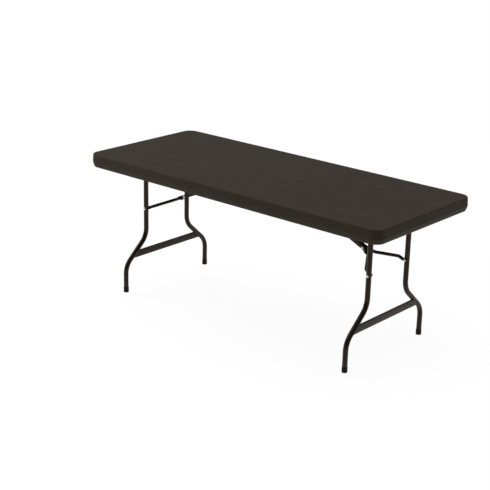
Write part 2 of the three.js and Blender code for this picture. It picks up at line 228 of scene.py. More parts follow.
def powder_coat():
    """Dark brown-black powder coat with a soft gloss, a light orange peel and a painted highlight on its
    convex edges.
    """
    s = Surface("powder_coat")
    cloud = s.spread(s.noise(0.06, 4), 0.35, 0.65, 0, 1)
    base = s.mix(cloud, (0.0078, 0.0054, 0.0036), (0.0112, 0.0080, 0.0056))
    chips = s.spread(s.noise(0.004, 6, 0.75), 0.70, 0.76, 0, 0.5)
    chipped = s.mix(chips, base, (0.019, 0.015, 0.012))
    # Painted highlight: convex edges lightened as if catching the light, not worn.
    s.colour(s.mix(s.edges(0.53, 0.62), chipped, (0.024, 0.019, 0.015)))
    s.roughness(s.spread(s.noise(0.03, 4), 0.3, 0.7, 0.24, 0.36))
    s.bump(s.noise(0.0011, 2), 0.00006, 0.5)
    s.uniform(Specular_IOR_Level=0.23, Specular_Tint=(1.0, 0.78, 0.62, 1))
    return s.material


def zinc_plate():
    """Bright zinc plate with fine brushing and duller patches."""
    s = Surface("zinc_plate")
    patches = s.spread(s.noise(0.006, 5, 0.6), 0.35, 0.7, 0, 1)
    s.colour(s.mix(patches, (0.74, 0.72, 0.68), (0.52, 0.51, 0.48)))
    s.roughness(s.spread(s.noise(0.002, 4), 0.3, 0.7, 0.26, 0.44))
    s.bump(s.noise(0.0006, 2, 0.5, (1, 1, 6)), 0.00003, 0.4)
    s.uniform(Metallic=0.65)
    return s.material


def cap_plastic():
    """Matt black plastic, rubbed grey where it meets the floor."""
    s = Surface("cap_plastic")
    dust = s.spread(s.noise(0.008, 5, 0.65), 0.5, 0.75, 0, 0.6)
    base = s.mix(dust, (0.0050, 0.0044, 0.0038), (0.013, 0.012, 0.011))
    s.colour(s.mix(s.edges(0.53, 0.62), base, (0.020, 0.018, 0.017)))
    s.roughness(s.spread(s.noise(0.01, 4), 0.3, 0.7, 0.55, 0.72))
    s.bump(s.noise(0.0009, 3), 0.00008, 0.6)
    s.uniform(Specular_IOR_Level=0.15)
    return s.material


MATERIALS = {
    PLASTIC_SLOT: moulded_plastic(),
    STEEL_SLOT: powder_coat(),
    ZINC_SLOT: zinc_plate(),
    CAP_SLOT: cap_plastic(),
}


# ---- Mesh helpers ----

def finished_mesh(name, vertices, faces, sharp_angle=35):
    """A smooth-shaded mesh with its faces turned outwards and its hard edges kept."""
    mesh = bpy.data.meshes.new(name)
    mesh.from_pydata([tuple(v) for v in vertices], [], faces)
    work = bmesh.new()
    work.from_mesh(mesh)
    bmesh.ops.remove_doubles(work, verts=work.verts, dist=1e-7)
    bmesh.ops.recalc_face_normals(work, faces=work.faces)
    work.to_mesh(mesh)
    work.free()
    mesh.shade_smooth()
    mesh.set_sharp_from_angle(angle=math.radians(sharp_angle))
    return mesh


def add_piece(name, mesh, body, slot, nodes=()):
    """A new piece in its place, riding on a body and standing for some CAD nodes."""
    piece = bpy.data.objects.new(name, mesh)
    scene.collection.objects.link(piece)
    if not mesh.materials:
        mesh.materials.append(MATERIALS[slot])
    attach(piece, body)
    if nodes:
        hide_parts(*nodes)
    return piece


def circle(radius, sides=28):
    turn = math.tau / sides
    return [(radius * math.cos(i * turn), radius * math.sin(i * turn)) for i in range(sides)]


def rounded_rectangle(width, height, radius, steps=5):
    points = []
    for quarter in range(4):
        across = (1, -1, -1, 1)[quarter] * (width / 2 - radius)
        up = (1, 1, -1, -1)[quarter] * (height / 2 - radius)
        for i in range(steps + 1):
            angle = math.pi / 2 * (quarter + i / steps)
            points.append((across + radius * math.cos(angle), up + radius * math.sin(angle)))
    return points


def rounded_path(points, radius, steps=10):
    """Straight lines through the points, with an arc of the radius at each corner."""
    points = [Vector(p) for p in points]
    path = [points[0]]
    for before, corner, after in zip(points, points[1:], points[2:]):
        back = (before - corner).normalized()
        ahead = (after - corner).normalized()
        turn = math.pi - back.angle(ahead)
        reach = radius * math.tan(turn / 2)
        middle = (back + ahead).normalized()
        centre = corner + middle * (radius / math.cos(turn / 2))
        start = corner + back * reach - centre
        axis = start.cross(corner + ahead * reach - centre).normalized()
        for i in range(steps + 1):
            path.append(centre + Matrix.Rotation(turn * i / steps, 3, axis) @ start)
    path.append(points[-1])
    return path


def sweep(path, normal, section, closed=False):
    """Vertices and faces of a section carried along a flat path.

    A section point is (along the path plane's normal, across the path). The section may be a
    function of the path point's number, for one that changes along the way.
    """
    count = len(path)
    vertices = []
    for i, point in enumerate(path):
        before = path[i - 1] if closed or i else path[0]
        after = path[(i + 1) % count] if closed or i < count - 1 else path[-1]
        tangent = (after - before).normalized()
        across = tangent.cross(normal).normalized()
        ring = section(i) if callable(section) else section
        vertices += [point + normal * a + across * b for a, b in ring]
    sides = len(vertices) // count
    faces = []
    for i in range(count if closed else count - 1):
        here = i * sides
        there = (i + 1) % count * sides
        for j in range(sides):
            k = (j + 1) % sides
            faces.append((here + j, here + k, there + k, there + j))
    if not closed:
        faces.append(tuple(range(sides)))
        faces.append(tuple(range((count - 1) * sides, count * sides)))
    return vertices, faces


def turned(profile, centre, axis, sides=28):
    """Vertices and faces of a profile of (radius, height along the axis) points turned round."""
    first = axis.orthogonal().normalized()
    second = axis.cross(first).normalized()
    vertices = []
    faces = []
    rings = []
    for radius, height in profile:
        middle = centre + axis * height
        if radius == 0:
            rings.append([len(vertices)] * sides)
            vertices.append(middle)
            continue
        rings.append(list(range(len(vertices), len(vertices) + sides)))
        vertices += [middle + first * a + second * b for a, b in circle(radius, sides)]
    for lower, upper in zip(rings, rings[1:]):
        for j in range(sides):
            k = (j + 1) % sides
            corners = (lower[j], lower[k], upper[k], upper[j])
            faces.append(tuple(dict.fromkeys(corners)))
    return vertices, faces


def arc(centre_radius, centre_height, radius, start, end, steps=6):
    """Profile points of an arc, its angles in degrees from straight outwards."""
    points = []
    for i in range(steps + 1):
        angle = math.radians(start + (end - start) * i / steps)
        points.append((
            centre_radius + radius * math.cos(angle),
            centre_height + radius * math.sin(angle),
        ))
    return points


def middle_of(node):
    low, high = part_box(node)
    return (low + high) / 2


def joint_place(name):
    joint = next(j for j in frame["joints"] if j["name"] == name)
    return Vector(joint["pos_m"])


# ---- Tabletop ----

TOP_LOW, TOP_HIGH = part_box("tabletop")
TOP_CORNER_RADIUS = 57 * MM
TOP_SMALLEST_CORNER = 4 * MM
TOP_EDGE_RADIUS = 7 * MM
TOP_BULGE = 2 * MM
TOP_WIDEST_DROP = 40 * MM
TOP_TAPER = 8 * MM
TOP_LIP = 14 * MM
TOP_PANEL = 24 * MM
CORNER_STEPS = 14
FLAT_BORDER = 3 * MM

# The rim bulges out to a parting line, then draws in towards the lip. The shares are parts of the
# way down, and the powers say how late the curve gathers.
UPPER_RIM_SHARES = (0.25, 0.5, 0.75)
UPPER_RIM_POWER = 1.5
LOWER_RIM_SHARES = (0.3, 0.6, 0.85)
LOWER_RIM_POWER = 1.6
LOWER_RIM_REST = 3 * MM
SEAM_DEPTH = 0.5 * MM
SEAM_HALF_HEIGHT = 1 * MM

# (inwards, upwards) from the lip's outer and inner bottom corners, and from the underside's corner.
LIP_OUTER_STEPS = ((0.4 * MM, 1.2 * MM), (1.8 * MM, 0))
LIP_INNER_STEPS = ((-1.8 * MM, 0), (-0.4 * MM, 1.2 * MM), (0.4 * MM, 4 * MM))
UNDERSIDE_STEPS = ((2 * MM, -5 * MM), (3.2 * MM, -1.6 * MM), (6 * MM, 0), (8 * MM, 0))

DIMPLE_RADIUS = 17 * MM
DIMPLE_FLOOR_RADIUS = 8 * MM
DIMPLE_DEPTH = 15 * MM
DIMPLE_FILLET = 3 * MM
DIMPLE_SIDES = 20
DIMPLE_SPACING = 96 * MM
DIMPLE_ROW_SHARE = 0.62
DIMPLE_COLUMNS = 10
DIMPLE_BORDER = 2 * MM
DIMPLE_CLEARANCE = 4 * MM
DIMPLE_END_CLEARANCE = 60 * MM

# (radius, rise) from a dimple's rim over a round edge, up its cone and onto its floor.
DIMPLE_PROFILE = (
    (DIMPLE_RADIUS, 0.0),
    (DIMPLE_RADIUS - 0.45 * DIMPLE_FILLET, 0.12 * DIMPLE_FILLET),
    (DIMPLE_RADIUS - 0.8 * DIMPLE_FILLET, 0.55 * DIMPLE_FILLET),
    (DIMPLE_FLOOR_RADIUS + 1.6 * MM, DIMPLE_DEPTH - 3 * MM),
    (DIMPLE_FLOOR_RADIUS + 0.4 * MM, DIMPLE_DEPTH - 0.8 * MM),
    (DIMPLE_FLOOR_RADIUS - 1.5 * MM, DIMPLE_DEPTH),
    (DIMPLE_FLOOR_RADIUS - 3 * MM, DIMPLE_DEPTH),
)


def top_outline(inset):
    """The plan outline of the top, drawn in from its full size."""
    size = TOP_HIGH - TOP_LOW
    radius = max(TOP_CORNER_RADIUS - inset, TOP_SMALLEST_CORNER)
    return rounded_rectangle(size.x - 2 * inset, size.y - 2 * inset, radius, CORNER_STEPS)


def rim_levels():
    """(inset, height) levels from the border of the flat top down the rim to the underside."""
    top = TOP_HIGH.z
    bottom = TOP_LOW.z
    underside = top - TOP_PANEL
    edge = TOP_BULGE + TOP_EDGE_RADIUS
    lip_inner = TOP_TAPER + TOP_LIP
    levels = [(edge + FLAT_BORDER, top)]
    for turn in range(90, -1, -10):
        angle = math.radians(turn)
        levels.append((
            edge - TOP_EDGE_RADIUS * math.cos(angle),
            top - TOP_EDGE_RADIUS * (1 - math.sin(angle)),
        ))
    widest = top - TOP_WIDEST_DROP
    for share in UPPER_RIM_SHARES:
        height = top - TOP_EDGE_RADIUS - share * (TOP_WIDEST_DROP - TOP_EDGE_RADIUS)
        levels.append((TOP_BULGE * (1 - share) ** UPPER_RIM_POWER, height))
    below_seam = widest - SEAM_HALF_HEIGHT
    levels += [(0.0, widest + SEAM_HALF_HEIGHT), (-SEAM_DEPTH, widest), (0.0, below_seam)]
    for share in LOWER_RIM_SHARES:
        height = below_seam - share * (widest - bottom - LOWER_RIM_REST)
        levels.append((TOP_TAPER * share ** LOWER_RIM_POWER, height))
    levels += [(TOP_TAPER + inwards, bottom + up) for inwards, up in LIP_OUTER_STEPS]
    levels += [(lip_inner + inwards, bottom + up) for inwards, up in LIP_INNER_STEPS]
    levels += [(lip_inner + inwards, underside + up) for inwards, up in UNDERSIDE_STEPS]
    return levels


def dimple_centres():
    """Staggered places of the tack-off dimples, clear of the rails and the anchor brackets."""
    rail_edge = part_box("side_rail_back")[0].y
    bracket_low, bracket_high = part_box("right_anchor_bracket")
    reach = DIMPLE_RADIUS + DIMPLE_CLEARANCE
    centres = []
    row_step = DIMPLE_SPACING * DIMPLE_ROW_SHARE
    rows = int((rail_edge - reach) / row_step)
    for row in range(-rows, rows + 1):
        y = row * row_step
        shift = 0.5 * (row % 2)
        for column in range(-DIMPLE_COLUMNS, DIMPLE_COLUMNS + 1):
            x = (column + shift) * DIMPLE_SPACING
            over_bracket = (
                bracket_low.x - reach < abs(x) < bracket_high.x + reach
                and abs(y) < bracket_high.y + reach
            )
            if abs(x) < TOP_HIGH.x - DIMPLE_END_CLEARANCE and not over_bracket:
                centres.append(Vector((x, y)))
    return centres


def add_dimple(vertices, faces, centre, height, rim):
    """A cone that sinks into the panel from its rim of vertex numbers."""
    previous = rim
    for radius, rise in DIMPLE_PROFILE:
        ring = list(range(len(vertices), len(vertices) + DIMPLE_SIDES))
        vertices += [
            Vector((centre.x + a, centre.y + b, height + rise))
            for a, b in circle(radius, DIMPLE_SIDES)
        ]
        for j in range(DIMPLE_SIDES):
            k = (j + 1) % DIMPLE_SIDES
            faces.append((previous[j], previous[k], ring[k], ring[j]))
        previous = ring
    faces.append(tuple(previous))


def tabletop_mesh():
    """The moulding: rings down the rim and over the lip, and a flat underside full of dimples."""
    levels = rim_levels()
    vertices = []
    faces = []
    for inset, height in levels:
        vertices += [Vector((x, y, height)) for x, y in top_outline(inset)]
    count = len(top_outline(0))
    for level in range(len(levels) - 1):
        upper = level * count
        lower = upper + count
        for i in range(count):
            k = (i + 1) % count
            faces.append((upper + i, lower + i, lower + k, upper + k))
    faces.append(tuple(range(count)))

    underside = levels[-1][1]
    border = [v.to_2d() for v in vertices[-count:]]
    border_numbers = list(range(len(vertices) - count, len(vertices)))
    flat = list(border)
    loops = [list(range(count))]
    centres = dimple_centres()
    rims = []
    for centre in centres:
        start = len(flat)
        ring = [centre + Vector(p) for p in circle(DIMPLE_RADIUS + DIMPLE_BORDER, DIMPLE_SIDES)]
        flat += ring
        loops.append(list(range(start + DIMPLE_SIDES - 1, start - 1, -1)))
        numbers = list(range(len(vertices), len(vertices) + DIMPLE_SIDES))
        vertices += [Vector((p.x, p.y, underside)) for p in ring]
        rims.append(numbers)
    numbers = border_numbers + [n for rim in rims for n in rim]
    edges = [(loop[i], loop[(i + 1) % len(loop)]) for loop in loops for i in range(len(loop))]
    hole_reach = (DIMPLE_RADIUS + DIMPLE_BORDER) * math.cos(math.pi / DIMPLE_SIDES)
    made_points, _, made_faces, point_sources, *_ = delaunay_2d_cdt(flat, edges, [], 1, 1e-5)
    for face in made_faces:
        middle = sum((made_points[i] for i in face), Vector((0, 0))) / len(face)
        if all((middle - centre).length > hole_reach for centre in centres):
            faces.append(tuple(numbers[point_sources[i][0]] for i in face))
    for centre, rim in zip(centres, rims):
        add_dimple(vertices, faces, centre, underside, rim)
    return finished_mesh("tabletop_moulding", vertices, faces)


add_piece("tabletop_moulding", tabletop_mesh(), "root", PLASTIC_SLOT, ["tabletop"])


# ---- Leg frames ----

LEG_RADIUS = 12.7 * MM
LEG_UPPER_BEND = 280 * MM
LEG_LOWER_BEND = 145 * MM
LEG_BEND_RADIUS = 96 * MM
LEG_TOP_TRIM = 3 * MM
LEG_BOTH_BENDS = (30 * MM, 500 * MM)
WELD_RADIUS = 1.7 * MM
WELD_SIDES = 10
WELD_LUMPS = 0.22
WELD_LUMP_TURN = 1.9
WELD_UNEVENNESS = 0.08
WELD_SINK = 1.0 * MM
TUBE_WALL = 1.5 * MM
TUBE_EDGE = 0.5 * MM
PIVOT_WELD_START = 200
PIVOT_WELD_TURN = 140
PIVOT_WELD_STEPS = 16
PIVOT_WELD_ASIDE = 0.4 * MM
PIVOT_WELD_LIFT = 0.2 * MM
CROSSBAR_CORNER = 4.2 * MM
CROSSBAR_STATIONS = (-1, -0.97, -0.9, -0.5, 0, 0.5, 0.9, 0.97, 1)
CROSSBAR_PINCH = 0.12
CROSSBAR_PINCH_START = 0.9
CROSSBAR_WELD_STEPS = 60
CAP_TREAD_ROUND = 2.2 * MM
CAP_MOUTH_ROUND = 0.8 * MM
CAP_MOUTH_BEVEL = 0.2 * MM
CAP_SQUEEZE = 0.1 * MM
CAP_FLOOR = 6 * MM
CAP_GROOVES = 3
CAP_FIRST_GROOVE = 7 * MM
CAP_GROOVE_PITCH = 4.2 * MM
CAP_GROOVE_DEPTH = 0.7 * MM
CAP_GROOVE_WIDTH = 2.2 * MM
CAP_GROOVE_SLOPE = 0.5 * MM
PLUG_WALL = 1.6 * MM
PLUG_HEAD = 3 * MM
PLUG_SHOULDER = 0.1 * MM
PLUG_ROUND = 1.4 * MM
random.seed(7)


def leg_path(end, side_name, low, high):
    """The centre line of a leg tube between two heights, from the top down."""
    box_low, box_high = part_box(f"{end}_{side_name}_leg_tube")
    side = SIDES[side_name]
    x = (box_low.x + box_high.x) / 2
    inner = side * (min(abs(box_low.y), abs(box_high.y)) + LEG_RADIUS)
    outer = side * (max(abs(box_low.y), abs(box_high.y)) - LEG_RADIUS)
    return rounded_path([
        (x, inner, high),
        (x, inner, LEG_UPPER_BEND),
        (x, outer, LEG_LOWER_BEND),
        (x, outer, low),
    ], LEG_BEND_RADIUS)


def weld_bead(name, path, normal, body, closed=False):
    """A lumpy bead of weld along a path."""
    def section(i):
        lump = WELD_LUMPS * math.sin(i * WELD_LUMP_TURN)
        lump += random.uniform(-WELD_UNEVENNESS, WELD_UNEVENNESS)
        return circle(WELD_RADIUS * (1 + lump), WELD_SIDES)

    vertices, faces = sweep(path, normal, section, closed)
    add_piece(name, finished_mesh(name, vertices, faces, 80), body, STEEL_SLOT)


def add_leg_tube(end, side_name):
    """A smoothly bent tube that reaches up into the pivot tube."""
    node = f"{end}_{side_name}_leg_tube"
    low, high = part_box(node)
    path = leg_path(end, side_name, low.z, high.z - LEG_TOP_TRIM)
    vertices, faces = sweep(path, X_AXIS, circle(LEG_RADIUS, 36))
    add_piece(f"{node}_bent", finished_mesh(node, vertices, faces), f"{end}_leg_frame", STEEL_SLOT, [node])


def add_pivot_tube(end):
    """An open tube with a bead of weld under it on both sides of each leg."""
    node = f"{end}_pivot_tube"
    low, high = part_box(node)
    radius = (high.z - low.z) / 2
    bore = radius - TUBE_WALL
    half = (high.y - low.y) / 2
    profile = [(bore, -half), (radius - TUBE_EDGE, -half), (radius, TUBE_EDGE - half)]
    profile += [(radius, half - TUBE_EDGE), (radius - TUBE_EDGE, half), (bore, half), (bore, -half)]
    vertices, faces = turned(profile, middle_of(node), Y_AXIS, 36)
    add_piece(f"{node}_round", finished_mesh(node, vertices, faces), f"{end}_leg_frame", STEEL_SLOT, [node])
    centre = middle_of(node)
    weld_reach = radius + PIVOT_WELD_LIFT
    for side_name, side in SIDES.items():
        leg_y = leg_path(end, side_name, *LEG_BOTH_BENDS)[0].y
        for edge in (-1, 1):
            y = leg_y + edge * (LEG_RADIUS + PIVOT_WELD_ASIDE)
            path = []
            for i in range(PIVOT_WELD_STEPS + 1):
                angle = math.radians(PIVOT_WELD_START + PIVOT_WELD_TURN * i / PIVOT_WELD_STEPS)
                across = weld_reach * math.cos(angle)
                path.append(Vector((centre.x + across, y, centre.z + weld_reach * math.sin(angle))))
            place = "inner" if edge * side < 0 else "outer"
            weld_bead(f"{end}_{side_name}_pivot_weld_{place}", path, Y_AXIS, f"{end}_leg_frame")


def add_crossbar(end):
    """A rectangular tube with rolled corners, its ends cut to the slope of the legs."""
    node = f"{end}_crossbar"
    low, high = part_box(node)
    section = rounded_rectangle(high.x - low.x, high.z - low.z, CROSSBAR_CORNER, 6)
    centre = (low + high) / 2
    slope = leg_slope(end)
    leg_y = leg_centre_y(end, centre.z)
    vertices = []
    for share in CROSSBAR_STATIONS:
        past = max(0.0, abs(share) - CROSSBAR_PINCH_START) / (1 - CROSSBAR_PINCH_START)
        pinch = 1 - CROSSBAR_PINCH * past
        slant = math.copysign(min(1, abs(share) * 2), share) * slope
        for a, b in section:
            vertices.append(Vector((centre.x + a * pinch, share * leg_y - slant * b, centre.z + b)))
    sides = len(section)
    last = len(CROSSBAR_STATIONS) - 1
    faces = []
    for i in range(last):
        for j in range(sides):
            k = (j + 1) % sides
            faces.append((i * sides + j, i * sides + k, (i + 1) * sides + k, (i + 1) * sides + j))
    faces.append(tuple(range(sides)))
    faces.append(tuple(range(last * sides, (last + 1) * sides)))
    add_piece(f"{node}_rolled", finished_mesh(node, vertices, faces), f"{end}_leg_frame", STEEL_SLOT, [node])

    leg_x = middle_of(f"{end}_back_leg_tube").x
    reach = LEG_RADIUS * math.sqrt(1 + slope * slope) - WELD_SINK
    for side_name, side in SIDES.items():
        path = []
        for a, b in section:
            off_axis = centre.x + a - leg_x
            bulge = math.sqrt(max(0.0, LEG_RADIUS ** 2 - off_axis ** 2)) / LEG_RADIUS
            y = side * (leg_y - slope * b - reach * bulge)
            path.append(Vector((centre.x + a, y, centre.z + b)))
        path = spaced(path, CROSSBAR_WELD_STEPS)
        weld_bead(f"{end}_{side_name}_crossbar_weld", path, Y_AXIS, f"{end}_leg_frame", True)


def spaced(path, count):
    """A closed path walked again in even steps."""
    loop = path + [path[0]]
    lengths = [0.0]
    for a, b in zip(loop, loop[1:]):
        lengths.append(lengths[-1] + (b - a).length)
    points = []
    for i in range(count):
        target = lengths[-1] * i / count
        k = max(j for j, length in enumerate(lengths[:-1]) if length <= target + 1e-12)
        span = lengths[k + 1] - lengths[k]
        share = (target - lengths[k]) / span if span else 0.0
        points.append(loop[k].lerp(loop[k + 1], share))
    return points


def leg_slope(end):
    """How far the leg's slanted part runs outwards for each metre that it drops."""
    path = leg_path(end, "back", *LEG_BOTH_BENDS)
    return (path[-1].y - path[0].y) / (LEG_UPPER_BEND - LEG_LOWER_BEND)


def leg_centre_y(end, height):
    path = leg_path(end, "back", *LEG_BOTH_BENDS)
    return path[0].y + (LEG_UPPER_BEND - height) * leg_slope(end)


def add_foot_cap(end, side_name):
    """A grooved cup with a rounded tread."""
    node = f"{end}_{side_name}_foot_cap"
    low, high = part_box(node)
    radius = (high.x - low.x) / 2
    height = high.z - low.z
    profile = [(0, 0)]
    profile += arc(radius - CAP_TREAD_ROUND, CAP_TREAD_ROUND, CAP_TREAD_ROUND, -90, 0)
    for groove in range(CAP_GROOVES):
        base = CAP_FIRST_GROOVE + groove * CAP_GROOVE_PITCH
        profile += [
            (radius, base),
            (radius - CAP_GROOVE_DEPTH, base + CAP_GROOVE_SLOPE),
            (radius - CAP_GROOVE_DEPTH, base + CAP_GROOVE_WIDTH - CAP_GROOVE_SLOPE),
            (radius, base + CAP_GROOVE_WIDTH),
        ]
    profile += arc(radius - CAP_MOUTH_ROUND, height - CAP_MOUTH_ROUND, CAP_MOUTH_ROUND, 0, 90, 4)
    inside = LEG_RADIUS - CAP_SQUEEZE
    profile += [(inside, height - CAP_MOUTH_BEVEL), (inside, CAP_FLOOR), (0, CAP_FLOOR)]
    centre = Vector((middle_of(node).x, middle_of(node).y, low.z))
    vertices, faces = turned(profile, centre, Z_AXIS, 40)
    add_piece(f"{node}_ribbed", finished_mesh(node, vertices, faces), f"{end}_leg_frame", CAP_SLOT, [node])


def add_pivot_plug(end, side_name):
    """A domed plug in the end of the pivot tube."""
    node = f"{end}_{side_name}_pivot_plug"
    low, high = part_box(node)
    side = SIDES[side_name]
    inner_face = low.y if side > 0 else high.y
    radius = (high.z - low.z) / 2
    length = high.y - low.y
    bore = radius - PLUG_WALL
    seat = length - PLUG_HEAD
    profile = [(0, 0), (bore, 0), (bore, seat), (radius, seat + PLUG_SHOULDER)]
    profile += arc(radius - PLUG_ROUND, length - PLUG_ROUND, PLUG_ROUND, 0, 90, 4)
    profile += [(0, length)]
    centre = Vector((middle_of(node).x, inner_face, middle_of(node).z))
    vertices, faces = turned(profile, centre, Y_AXIS * side, 32)
    add_piece(f"{node}_domed", finished_mesh(node, vertices, faces), f"{end}_leg_frame", CAP_SLOT, [node])


# ---- Rivets and pins ----

PIN_RADIUS = 4 * MM
PIN_HEAD = 1.7 * MM

# Shares of (head radius, head thickness), from the crown of a head down to its seat.
PIN_DOME = ((0, 0), (0.55, 0.12), (0.85, 0.42), (1, 0.85), (1, 1))


def pin_end(head_radius, has_head):
    """(radius, depth) points of one end of a pin, from its middle out and down to its shank."""
    if not has_head:
        return [(0, 0), (PIN_RADIUS, 0)]
    dome = [(head_radius * out, PIN_HEAD * down) for out, down in PIN_DOME]
    return dome + [(PIN_RADIUS, PIN_HEAD)]


def headed_pin(node, body, start_head, end_head, start_trim=0.0, end_trim=0.0):
    """A rivet or pin along Y in the place of a CAD node, with a domed head at the ends that have one.

    A trim draws that end in, to sit on a part that is thinner than its CAD solid.
    """
    low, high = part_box(node)
    head = (high.z - low.z) / 2
    start = low.y + start_trim
    length = high.y - end_trim - start
    profile = pin_end(head, start_head)
    profile += [(radius, length - depth) for radius, depth in reversed(pin_end(head, end_head))]
    centre = Vector((middle_of(node).x, start, middle_of(node).z))
    vertices, faces = turned(profile, centre, Y_AXIS, 28)
    add_piece(f"{node}_domed", finished_mesh(node, vertices, faces), body, ZINC_SLOT, [node])


# ---- Braces ----

ARM_RADIUS = 8 * MM
ARM_BEND_RADIUS = 20 * MM

# Distances along the brace: two from the knee, then two back from the leg rivet.
ARM_START = 28 * MM
ARM_FIRST_BEND = 46 * MM
ARM_SECOND_BEND = 35 * MM
ARM_ROUND_END = 14 * MM

# The pressed tip, by distances from the rivet, and what share of its width is left at its last few.
ARM_TIP_STEPS = tuple(step * MM for step in (-11, -8, -6, -4, 0, 4, 6, 7, 7.8))
ARM_TIP_WIDTHS = (0.96, 0.84, 0.66, 0.35)
ARM_PRESS = 0.55
ARM_PRESS_STEPS = 4
ARM_SPREAD = 0.12

RING_INNER_HALF_WIDTH = 18 * MM
RING_WALL = 2.0 * MM
RING_LOW = -13.5 * MM
RING_HIGH = 11.4 * MM
RING_WIDTH = 10 * MM
RING_FROM_KNEE = 21 * MM
RING_CORNER = 5 * MM
RING_EDGE = 0.9 * MM


def brace_axes(end):
    """The knee's place, the direction from the anchor to the leg, and the brace's upward normal."""
    knee = joint_place(f"{end}_knee_bend")
    along = (knee - joint_place(f"{end}_link_swing")).normalized()
    up = Vector((-along.z, 0, along.x)) if along.x > 0 else Vector((along.z, 0, -along.x))
    return knee, along, up


def add_yoke_arm(end, side_name):
    """A bent tube whose tip is pressed flat against the leg."""
    node = f"{end}_yoke_{side_name}_arm"
    side = SIDES[side_name]
    low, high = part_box(node)
    knee, along, up = brace_axes(end)
    tip = (middle_of(f"{end}_yoke_{side_name}_rivet") - knee).dot(along)
    near = min(abs(low.y), abs(high.y)) + ARM_RADIUS
    far = max(abs(low.y), abs(high.y)) - ARM_RADIUS

    def at(distance, y):
        return knee + along * distance + Y_AXIS * (side * y)

    path = rounded_path([
        at(ARM_START, near),
        at(ARM_FIRST_BEND, near),
        at(tip - ARM_SECOND_BEND, far),
        at(tip - ARM_ROUND_END, far),
    ], ARM_BEND_RADIUS, 8)
    round_end = len(path) - 1
    path += [at(tip + step, far) for step in ARM_TIP_STEPS]
    outwards = 1 if along.cross(up).y * side > 0 else -1
    widths = [1.0] * (len(path) - len(ARM_TIP_WIDTHS)) + list(ARM_TIP_WIDTHS)

    def section(i):
        share = min(1.0, max(0.0, (i - round_end) / ARM_PRESS_STEPS))
        press = share * share * (3 - 2 * share)
        thin = 1 - ARM_PRESS * press
        wide = (1 + ARM_SPREAD * press) * widths[i]
        shift = ARM_RADIUS * ARM_PRESS * press * outwards
        return [(a * wide, b * thin + shift) for a, b in circle(ARM_RADIUS, 24)]

    vertices, faces = sweep(path, up, section)
    add_piece(f"{node}_bent", finished_mesh(node, vertices, faces), f"{end}_brace_yoke", STEEL_SLOT, [node])


def add_lock_ring(end):
    """A rolled band round the knee."""
    node = f"{end}_lock_ring"
    knee, along, up = brace_axes(end)
    centre = knee + along * RING_FROM_KNEE + up * ((RING_LOW + RING_HIGH) / 2)
    height = RING_HIGH - RING_LOW - RING_WALL
    width = 2 * RING_INNER_HALF_WIDTH + RING_WALL
    outline = rounded_rectangle(width, height, RING_CORNER, 6)
    path = [centre + Y_AXIS * a + up * b for a, b in outline]
    band = rounded_rectangle(RING_WIDTH, RING_WALL, RING_EDGE, 3)
    vertices, faces = sweep(path, along, band, True)
    add_piece(f"{node}_rolled", finished_mesh(node, vertices, faces), f"{end}_ring", STEEL_SLOT, [node])


# ---- Pressed steel parts that keep their CAD shape ----

SOFT_ANGLE = math.radians(40)


def soften(node, slot, width=0.6 * MM):
    """Gives a CAD node rounded edges and its material."""
    piece = frame["nodes"][node]
    weld = piece.modifiers.new("weld", "WELD")
    weld.merge_threshold = 1e-5
    bevel = piece.modifiers.new("edges", "BEVEL")
    bevel.width = width
    bevel.segments = 3
    bevel.limit_method = "ANGLE"
    bevel.angle_limit = SOFT_ANGLE
    piece.data.materials.clear()
    piece.data.materials.append(MATERIALS[slot])
    piece.data.shade_smooth()
    piece.data.set_sharp_from_angle(angle=SOFT_ANGLE)


# ---- Screws ----

SCREW_HEAD_HEIGHT = 2.5 * MM

# (radius, height) from the crown of the head, over its edge and seat and up the shank to the point.
SCREW_PROFILE = (
    (0, -SCREW_HEAD_HEIGHT),
    (1.6 * MM, -2.48 * MM),
    (3.0 * MM, -2.2 * MM),
    (4.0 * MM, -1.6 * MM),
    (4.5 * MM, -0.8 * MM),
    (4.5 * MM, -0.3 * MM),
    (2 * MM, -0.3 * MM),
    (2 * MM, 12 * MM),
    (0, 14 * MM),
)
RECESS_SIZE = (4.6 * MM, 0.95 * MM, 2.4 * MM)
RECESS_MIDDLE = -2.6 * MM


def screw_mesh():
    """A pan head with a cross recess, pointing up, its seat at the origin."""
    vertices, faces = turned(SCREW_PROFILE, Vector((0, 0, 0)), Z_AXIS, 32)
    mesh = finished_mesh("pan_screw", vertices, faces)
    cutters = []
    for turn in (0, math.pi / 2):
        work = bmesh.new()
        size = Matrix.Diagonal((*RECESS_SIZE, 1))
        place = Matrix.Translation((0, 0, RECESS_MIDDLE)) @ Matrix.Rotation(turn, 4, "Z") @ size
        bmesh.ops.create_cube(work, size=1, matrix=place)
        cutter_mesh = bpy.data.meshes.new("recess")
        work.to_mesh(cutter_mesh)
        work.free()
        cutter = bpy.data.objects.new("recess", cutter_mesh)
        scene.collection.objects.link(cutter)
        cutters.append(cutter)
    blank = bpy.data.objects.new("pan_screw_blank", mesh)
    scene.collection.objects.link(blank)
    for cutter in cutters:
        boolean = blank.modifiers.new("recess", "BOOLEAN")
        boolean.operation = "DIFFERENCE"
        boolean.object = cutter
    graph = bpy.context.evaluated_depsgraph_get()
    made = bpy.data.meshes.new_from_object(blank.evaluated_get(graph))
    for extra in [blank, *cutters]:
        bpy.data.objects.remove(extra)
    made.materials.clear()
    made.materials.append(MATERIALS[ZINC_SLOT])
    return made


def add_screws(nodes):
    """A screw in the place of each node, its recess turned at random."""
    pattern = screw_mesh()
    for node in nodes:
        middle = middle_of(node)
        seat = Vector((middle.x, middle.y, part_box(node)[0].z + SCREW_HEAD_HEIGHT))
        mesh = pattern.copy()
        turn = Matrix.Rotation(random.uniform(0, math.pi), 4, "Z")
        mesh.transform(Matrix.Translation(seat) @ turn)
        add_piece(f"{node}_pan", mesh, "root", ZINC_SLOT, [node])


# ---- Assembly ----

